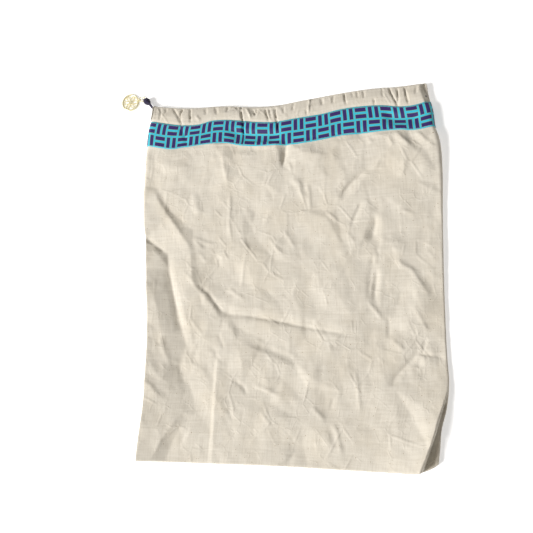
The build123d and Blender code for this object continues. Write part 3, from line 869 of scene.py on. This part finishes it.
def make_ribbon():
    """The woven ribbon, one length sewn round the bag's neck."""
    points = band_points(RIBBON_BOTTOM, RIBBON_TOP, RIBBON_LIFT, RIBBON_ROWS)
    middle = distance_along(points[RIBBON_ROWS // 2])[None, :]
    along = middle + np.zeros(points.shape[:2])
    across = np.linspace(0, RIBBON_TOP - RIBBON_BOTTOM, RIBBON_ROWS)[:, None] + 0 * along
    return thicken(grid_mesh("ribbon", points, along, across), RIBBON_CLOTH, 1.0)


# -------- threads

def stitch_mesh(name, places):
    """Separate stitches, each a bent thread through three points in millimetres."""
    vertices = []
    faces = []
    sides = range(THREAD_SIDES)
    for start, middle, end in places:
        heading = (end - start).normalized()
        shoulders = [mix(tip, middle, SHOULDER_AT) for tip in (start, end)]
        side = heading.cross(Vector((0, 0, 1))).normalized()
        up = side.cross(heading)
        rings = [(start, THREAD_END), (shoulders[0], THREAD_SHOULDER), (middle, 1.0),
                 (shoulders[1], THREAD_SHOULDER), (end, THREAD_END)]
        first = len(vertices)
        last = first + (len(rings) - 1) * THREAD_SIDES
        for centre, share in rings:
            for step in sides:
                turn = 2 * math.pi * step / THREAD_SIDES
                spoke = side * math.cos(turn) + up * math.sin(turn)
                vertices.append((centre + spoke * THREAD * share) * MM)
        for ring in range(first, last, THREAD_SIDES):
            for step in sides:
                a, b = ring + step, ring + (step + 1) % THREAD_SIDES
                faces.append((a, b, b + THREAD_SIDES, a + THREAD_SIDES))
        faces.append([first + step for step in reversed(sides)])
        faces.append([last + step for step in sides])
    return add_mesh(name, vertices, faces)


def stitches_along(line, lift):
    """Stitches along a line of points, each with its middle lifted out of the cloth."""
    at = distance_along(line)
    count = int((at[-1] - STITCH) / STITCH_PITCH)
    margin = 0.5 * (at[-1] - count * STITCH_PITCH - STITCH)
    lift = Vector((0, 0, lift))
    found = []
    for k in range(count + 1):
        points = []
        for share in (0.0, 0.5, 1.0):
            where = margin + k * STITCH_PITCH + share * STITCH
            points.append(Vector([np.interp(where, at, line[:, axis]) for axis in range(3)]))
        points[1] = points[1] + lift
        found.append(points)
    return found


def make_ribbon_stitches(name, flat_y):
    """One line of stitches round the ribbon, on the front and on the back."""
    line = band_points(flat_y - 0.5, flat_y + 0.5, RIBBON_LIFT + RIBBON_CLOTH, 3)[1]
    half = line.shape[0] // 2
    front = stitches_along(line[EDGE_STEPS:half], FRONT_RISE)
    back = stitches_along(line[half + 1:-EDGE_STEPS], -BACK_RISE)
    return stitch_mesh(name, front + back)


# -------- seams inside the bag

def seam_line(side, from_edge, z_shift):
    """Points along a side seam at a distance from the bag's edge."""
    edge = left_edge if side < 0 else right_edge
    flat_y = np.linspace(BOTTOM + SEAM_ALLOWANCE, NECK_ENDS - SEAM_BELOW_NECK, SEAM_POINTS)
    x = edge(flat_y) - side * from_edge
    z = mix(BODY_SEAM, NECK_SEAM, neck_share(flat_y)) + z_shift
    return np.stack([x, waved(x, flat_y), z], axis=-1)


def bottom_line(from_edge, z_shift):
    """Points along the bottom seam at a distance from the bag's edge."""
    x = np.linspace(left_edge(BOTTOM) + SEAM_ALLOWANCE, right_edge(BOTTOM) - SEAM_ALLOWANCE,
                    SEAM_POINTS)
    y = waved(x, BOTTOM + from_edge)
    return np.stack([x, y, np.full(x.shape, BODY_SEAM + z_shift)], axis=-1)


def make_overlock(name, line_at):
    """The thread wrapped over a seam allowance's edge, as a slim band with a round rim."""
    points = np.stack([line_at(SEAM_ALLOWANCE + inward, z) for inward, z in OVERLOCK])
    u = arc_lengths(points)
    v = np.linspace(0, 6, len(OVERLOCK))[:, None] + 0 * u
    return thicken(grid_mesh(name, points, u, v), OVERLOCK_THREAD, 0.0)


# -------- the drawstring

def tube(name, points, radius, closed=False):
    """A round tube along a line of points, with its length and turn as its UV map."""
    if closed:
        ahead = np.roll(points, -1, axis=0) - np.roll(points, 1, axis=0)
    else:
        ahead = np.gradient(points, axis=0)
    ahead = ahead / np.linalg.norm(ahead, axis=-1, keepdims=True)
    side = np.cross(ahead[0], (0.0, 0.0, 1.0))
    turns = np.linspace(0, 2 * math.pi, CORD_SIDES, endpoint=False)
    rings = []
    for centre, heading in zip(points, ahead):
        side = side - heading * np.dot(side, heading)
        side = side / np.linalg.norm(side)
        up = np.cross(side, heading)
        rings.append([centre + radius * (side * math.cos(t) + up * math.sin(t)) for t in turns])
    if closed:
        rings.append(rings[0])
    grid = np.array(rings)
    along = distance_along(grid[:, 0])[:, None] + 0 * grid[:, :, 0]
    turned = turns[None, :] / (2 * math.pi) + 0 * along
    return grid_mesh(name, grid, along, turned, closed=True)


def make_knot():
    """The knot in the doubled cord: turns wound round it that swell away from the bag."""
    heading = np.array([-math.cos(KNOT_ANGLE), math.sin(KNOT_ANGLE), 0.0])
    side = np.array([-heading[1], heading[0], 0.0])
    up = np.array([0.0, 0.0, 1.0])
    points = []
    for share in np.linspace(0, 1, KNOT_STEPS):
        along = mix(-KNOT_NECK, KNOT_END, share) * heading
        radius = KNOT_SWELL * math.sin(math.pi * share ** 1.5) ** 0.7 + KNOT_CORE
        turn = 2 * math.pi * KNOT_TURNS * share
        points.append(along + radius * (math.cos(turn) * side + math.sin(turn) * up))
    start, end = points[0], points[-1]
    for share in np.linspace(0, 1, KNOT_CORE_STEPS)[1:-1]:
        points.append(mix(end, start, share))
    return tube("knot", np.array(points) + np.array(KNOT_CENTRE), CORD / 2, closed=True)


# -------- materials

# Metres between threads of the canvas, ribs of the ribbon and strands of the cord
WEAVE_PITCH = 0.00055
RIB_PITCH = 0.0006
BRAID_PITCH = 0.0022
BRAID_STRANDS = 4


class Shader:
    """A material's node tree, with short ways to add to it."""

    def __init__(self, name):
        self.material = bpy.data.materials.new(name)
        self.material.use_nodes = True
        self.tree = self.material.node_tree
        self.surface = self.tree.nodes["Principled BSDF"]

    def node(self, kind, inputs=None, **settings):
        made = self.tree.nodes.new(kind)
        for key, value in settings.items():
            setattr(made, key, value)
        for key, value in (inputs or {}).items():
            self.put(made.inputs[key], value)
        return made

    def put(self, socket, value):
        """Join another node's socket to this one, or give this one a constant value."""
        if isinstance(value, bpy.types.NodeSocket):
            self.tree.links.new(value, socket)
        else:
            socket.default_value = value

    def math(self, operation, a, b=0.0, c=0.0):
        made = self.node("ShaderNodeMath", {0: a, 1: b, 2: c}, operation=operation)
        return made.outputs[0]

    def times(self, a, b):
        return self.math("MULTIPLY", a, b)

    def plus(self, a, b):
        return self.math("ADD", a, b)

    def ripple(self, value, pitch):
        """A wave, from -1 to 1, that comes again at every pitch."""
        return self.math("SINE", self.times(value, 2 * math.pi / pitch))

    def between(self, value, low, high):
        """0 below low and 1 above high, smoothly between them."""
        made = self.node("ShaderNodeMapRange", {0: value, 1: low, 2: high},
                         interpolation_type="SMOOTHSTEP")
        return made.outputs[0]

    def blend(self, share, a, b):
        """Colour a where share is 0, and b where it is 1."""
        made = self.node("ShaderNodeMix", {0: share}, data_type="RGBA")
        self.put(made.inputs[6], a)
        self.put(made.inputs[7], b)
        return made.outputs[2]

    def cloth_map(self):
        """The place across and along the flat cloth, in metres."""
        made = self.node("ShaderNodeUVMap", uv_map="cloth")
        parts = self.node("ShaderNodeSeparateXYZ", {0: made.outputs[0]})
        return parts.outputs[0], parts.outputs[1]

    def noise(self, x, y, scale_x, scale_y, detail=2.0):
        """Soft random spots, with so many to the metre in each direction."""
        place = self.node("ShaderNodeCombineXYZ", {
            0: self.times(x, scale_x), 1: self.times(y, scale_y)})
        made = self.node("ShaderNodeTexNoise", {
            "Vector": place.outputs[0], "Scale": 1.0, "Detail": detail})
        return made.outputs[0]

    def bump(self, height, strength, distance):
        """Relief by shading. A second call adds a finer relief on top of the first."""
        made = self.node("ShaderNodeBump", {
            "Strength": strength, "Distance": distance, "Height": height})
        normal = self.surface.inputs["Normal"]
        if normal.is_linked:
            self.tree.links.new(normal.links[0].from_socket, made.inputs["Normal"])
        self.tree.links.new(made.outputs[0], normal)

    def wrinkles(self, x, y, scale):
        """Thin straight wrinkles between flat patches, here and there."""
        place = self.node("ShaderNodeCombineXYZ", {0: x, 1: y})
        cells = self.node("ShaderNodeTexVoronoi", {"Vector": place.outputs[0], "Scale": scale},
                          feature="DISTANCE_TO_EDGE")
        line = self.between(cells.outputs["Distance"], 0.09, 0.0)
        shown = self.between(self.noise(x, y, scale * 0.6, scale * 0.5), 0.46, 0.62)
        return self.times(line, shown)

    def set(self, **values):
        for key, value in values.items():
            self.put(self.surface.inputs[key.replace("_", " ")], value)


def colour(red, green, blue):
    """A colour given as it looks on a screen, 0 to 255, as the shader wants it."""
    linear = [((part / 255 + 0.055) / 1.055) ** 2.4 for part in (red, green, blue)]
    return (*linear, 1.0)


def canvas_material():
    """Natural unbleached cotton in a plain weave, with slubs and a few seed flecks."""
    shader = Shader("natural_canvas")
    u, v = shader.cloth_map()
    weave = shader.times(shader.ripple(u, WEAVE_PITCH), shader.ripple(v, WEAVE_PITCH))
    slubs = shader.plus(shader.noise(u, v, 620.0, 45.0), shader.noise(u, v, 40.0, 560.0))
    blotch = shader.noise(u, v, 28.0, 22.0, detail=3.0)
    tone = shader.between(slubs, 0.4, 1.6)
    base = shader.blend(tone, colour(197, 190, 176), colour(216, 210, 197))
    faded = shader.times(shader.between(blotch, 0.4, 0.75), 0.35)
    warm = shader.blend(faded, base, colour(204, 194, 174))
    fleck = shader.between(shader.noise(u, v, 900.0, 700.0, detail=0.0), 0.80, 0.84)
    shader.set(Base_Color=shader.blend(fleck, warm, colour(146, 128, 98)))
    shader.set(Roughness=0.92, Sheen_Weight=0.08, Sheen_Roughness=0.6, Specular_IOR_Level=0.2)
    shader.bump(shader.wrinkles(u, v, 42.0), 0.8, 0.00034)
    shader.bump(shader.wrinkles(v, u, 90.0), 0.6, 0.0002)
    height = shader.plus(shader.times(weave, 0.25), shader.times(slubs, 1.2))
    shader.bump(height, 0.55, 0.00016)
    return shader.material


def basket_bars(shader, u, v, half_width, half_length):
    """Where the bars of a basket weave are: two upright, then two level, by turns."""
    across = shader.math("DIVIDE", u, RIBBON_CELL * MM)
    up = shader.math("DIVIDE", v, RIBBON_CELL * MM)
    parity = shader.plus(shader.math("FLOOR", across), shader.math("FLOOR", up))
    level = shader.math("GREATER_THAN", shader.math("FLOORED_MODULO", parity, 2.0), 0.5)
    in_across = shader.math("SUBTRACT", shader.math("FRACT", across), 0.5)
    in_up = shader.math("SUBTRACT", shader.math("FRACT", up), 0.5)

    def bars(over, along):
        half = shader.math("FRACT", shader.times(shader.plus(over, 0.5), 2.0))
        beside = shader.math("ABSOLUTE", shader.math("SUBTRACT", half, 0.5))
        end = shader.math("ABSOLUTE", along)
        inside = shader.between(beside, half_width + 0.03, half_width - 0.03)
        within = shader.between(end, half_length + 0.01, half_length - 0.01)
        return shader.times(inside, within)

    upright = bars(in_across, in_up)
    lying = bars(in_up, in_across)
    return shader.node("ShaderNodeMix", {0: level, 2: upright, 3: lying}).outputs[0]


def ribbon_material():
    """A woven ribbon: a dark blue basket weave on turquoise, edged in a thin olive line."""
    shader = Shader("woven_ribbon")
    u, v = shader.cloth_map()
    outline = basket_bars(shader, u, v, 0.35, 0.45)
    bar = basket_bars(shader, u, v, 0.285, 0.42)
    ribs = shader.ripple(u, RIB_PITCH)
    threads = shader.noise(u, v, 1500.0, 500.0)
    ground = shader.blend(threads, colour(14, 158, 192), colour(62, 205, 222))
    edged = shader.blend(outline, ground, colour(118, 158, 124))
    dark = shader.blend(threads, colour(28, 12, 74), colour(58, 34, 112))
    shader.set(Base_Color=shader.blend(bar, edged, dark))
    shader.set(Roughness=0.6, Sheen_Weight=0.1, Specular_IOR_Level=0.35)
    shader.bump(shader.plus(shader.times(ribs, 0.3), bar), 0.5, 0.00015)
    return shader.material


def thread_material(name, light, dark):
    """Sewing thread, two-ply, with a soft shine."""
    shader = Shader(name)
    place = shader.node("ShaderNodeTexCoord").outputs["Object"]
    wave = shader.node("ShaderNodeTexWave", {"Vector": place, "Scale": 900.0, "Distortion": 2.0},
                       bands_direction="DIAGONAL")
    shader.set(Base_Color=shader.blend(wave.outputs[1], dark, light))
    shader.set(Roughness=0.55, Sheen_Weight=0.1)
    shader.bump(wave.outputs[1], 0.6, 0.0001)
    return shader.material


def cord_material():
    """A braided cord, very dark blue: strands that cross both ways round it."""
    shader = Shader("braided_cord")
    u, v = shader.cloth_map()
    along = shader.times(u, 2 * math.pi / BRAID_PITCH)
    turn = shader.times(v, 2 * math.pi * BRAID_STRANDS / MM)
    one = shader.math("SINE", shader.plus(along, turn))
    other = shader.math("SINE", shader.math("SUBTRACT", along, turn))
    braid = shader.times(one, other)
    tone = shader.between(braid, -0.8, 0.9)
    fuzz = shader.noise(u, v, 4000.0, 9000.0)
    base = shader.blend(tone, colour(9, 5, 22), colour(34, 22, 66))
    shader.set(Base_Color=shader.blend(shader.times(fuzz, 0.25), base, colour(70, 58, 104)))
    shader.set(Roughness=0.7, Sheen_Weight=0.2, Sheen_Roughness=0.4)
    shader.bump(braid, 0.8, 0.00025)
    return shader.material


def gold_material():
    """Pale polished gold plate, with faint hairlines."""
    shader = Shader("pale_gold")
    place = shader.node("ShaderNodeTexCoord").outputs["Object"]
    hair = shader.node("ShaderNodeTexNoise", {"Vector": place, "Scale": 1800.0, "Detail": 3.0})
    wide = shader.node("ShaderNodeTexNoise", {"Vector": place, "Scale": 260.0, "Detail": 2.0})
    shader.set(Base_Color=shader.blend(wide.outputs[0], colour(226, 214, 166),
                                       colour(246, 240, 208)))
    shader.set(Metallic=0.35)
    shader.set(Roughness=shader.between(hair.outputs[0], -0.4, 2.2))
    shader.bump(hair.outputs[0], 0.15, 0.00005)
    return shader.material


def floor_material():
    """A plain pale floor, faintly lit from below like a light table."""
    shader = Shader("pale_floor")
    shader.set(Base_Color=(0.93, 0.93, 0.93, 1.0), Roughness=0.9)
    shader.set(Emission_Color=(1.0, 1.0, 1.0, 1.0), Emission_Strength=0.4)
    return shader.material


def finish_with(piece, material):
    piece.data.materials.clear()
    piece.data.materials.append(material)


def stand_in(piece, material, body, node):
    """Finish a piece that moves with one body and is seen in place of one CAD node."""
    finish_with(piece, material)
    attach(piece, body)
    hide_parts(node)


# -------- the scene

def make_cloth_pieces(canvas, ribbon_cloth, ribbon_thread):
    """The two panels, the ribbon and its threads."""
    front = make_panel("front_cloth", front_height, 1.0)
    back = make_panel("back_cloth", back_height, -1.0)
    for piece, node in ((front, "front_panel"), (back, "back_panel")):
        stand_in(piece, canvas, "bag", node)
    ribbon = make_ribbon()
    stand_in(ribbon, ribbon_cloth, "bag", "ribbon_band")
    lines = (("ribbon_upper", RIBBON_TOP - STITCH_MARGIN),
             ("ribbon_lower", RIBBON_BOTTOM + STITCH_MARGIN))
    for name, flat_y in lines:
        piece = make_ribbon_stitches(name + "_thread", flat_y)
        stand_in(piece, ribbon_thread, "bag", name + "_stitching")


def make_seams(material):
    """The seams' stitches and overlocked edges, inside the bag."""
    seams = (("left_seam", lambda d, z: seam_line(-1, d, z)),
             ("right_seam", lambda d, z: seam_line(1, d, z)),
             ("bottom_seam", bottom_line))
    for name, line_at in seams:
        upper = stitches_along(line_at(SEAM_STITCH_IN, SEAM_STITCH_UP), SEAM_RISE)
        lower = stitches_along(line_at(SEAM_STITCH_IN, -SEAM_STITCH_UP), -SEAM_RISE)
        thread = stitch_mesh(name + "_thread", upper + lower)
        edge = make_overlock(name + "_edge", line_at)
        stand_in(thread, material, "bag", name + "_stitching")
        stand_in(edge, material, "bag", name + "_overlock")


def make_casing_end_stitches(material):
    """Two short upright rows of stitches beside the casing's open end."""
    below, above = END_STITCH_GAPS
    flat_y = np.linspace(RIBBON_TOP + below, TOP - above, END_POINTS)
    x = np.full(flat_y.shape, left_edge(TOP) + END_STITCH_IN)
    y = waved(x, flat_y)
    front = np.stack([x, y, front_height(x, y, flat_y)], axis=-1)
    back = np.stack([x, y, back_height(x, y, flat_y)], axis=-1)
    stitches = stitches_along(front, END_RISE) + stitches_along(back, -END_RISE)
    piece = stitch_mesh("casing_end_thread", stitches)
    stand_in(piece, material, "bag", "casing_end_stitching")


def make_drawstring(material):
    """One cord through the casing, and its knot, which moves with the pulled ends."""
    cord = tube("drawstring", CORD_LINE, CORD / 2)
    finish_with(cord, material)
    turn_x = right_edge(CORD_Y) - TURN_INSET
    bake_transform(cord)
    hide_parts("drawstring_loop", "drawstring_tails")
    knot = make_knot()
    stand_in(knot, material, "pull", "drawstring_knot")


def make_floor():
    """A wide pale floor just under the bag."""
    bpy.ops.mesh.primitive_plane_add(size=16.0, location=(0, 0, 0))
    floor = bpy.context.object
    floor.name = "floor"
    finish_with(floor, floor_material())


def area_light(name, place, size, power, tint):
    """A square soft light that points at the middle of the bag."""
    data = bpy.data.lights.new(name, "AREA")
    data.shape = "SQUARE"
    data.size = size
    data.energy = power
    data.color = tint
    lamp = bpy.data.objects.new(name, data)
    lamp.location = place
    lamp.rotation_euler = (-Vector(place)).to_track_quat("-Z", "Y").to_euler()
    bpy.context.scene.collection.objects.link(lamp)


def make_lights():
    """A low, far key light from the left and near side, and a pale warm surround."""
    area_light("key", (-6.15, -3.0, 5.4), size=2.4, power=1080.0, tint=(1.0, 0.986, 0.985))
    area_light("fill", (0.9, 1.4, 2.6), size=2.5, power=6.0, tint=(1.0, 0.98, 0.95))
    world = bpy.data.worlds.new("surround")
    world.use_nodes = True
    surround = world.node_tree.nodes["Background"]
    surround.inputs["Color"].default_value = (1.0, 0.965, 0.91, 1.0)
    surround.inputs["Strength"].default_value = 0.26
    bpy.context.scene.world = world
    bpy.context.scene.view_settings.view_transform = "Standard"


def make_camera():
    """A camera that is placed by where it is, where it looks and what is to its right."""
    data = bpy.data.cameras.new("camera")
    data.sensor_width = CAMERA_SENSOR
    data.lens = CAMERA_LENS
    camera = bpy.data.objects.new("camera", data)
    look = Vector(CAMERA_LOOK).normalized()
    up = Vector(CAMERA_RIGHT).normalized().cross(look).normalized()
    matrix = np.eye(4)
    matrix[:3, :3] = np.array([look.cross(up), up, -look]).T
    matrix[:3, 3] = CAMERA_PLACE
    camera.matrix_world = Matrix(matrix)
    bpy.context.scene.collection.objects.link(camera)
    bpy.context.scene.camera = camera


def main():
    canvas = canvas_material()
    ribbon_cloth = ribbon_material()
    ribbon_thread = thread_material("ribbon_thread", colour(120, 110, 190), colour(66, 54, 130))
    seam_thread = thread_material("seam_thread", colour(232, 226, 212), colour(190, 182, 164))
    cord = cord_material()
    gold = gold_material()
    make_camera()
    make_drawstring(cord)
    make_cloth_pieces(canvas, ribbon_cloth, ribbon_thread)
    make_seams(seam_thread)
    make_casing_end_stitches(seam_thread)
    for node in ("jump_ring", "charm"):
        finish_with(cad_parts[node], gold)
    finish_with(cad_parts["cord_eye"], cord)
    make_floor()
    make_lights()


main()
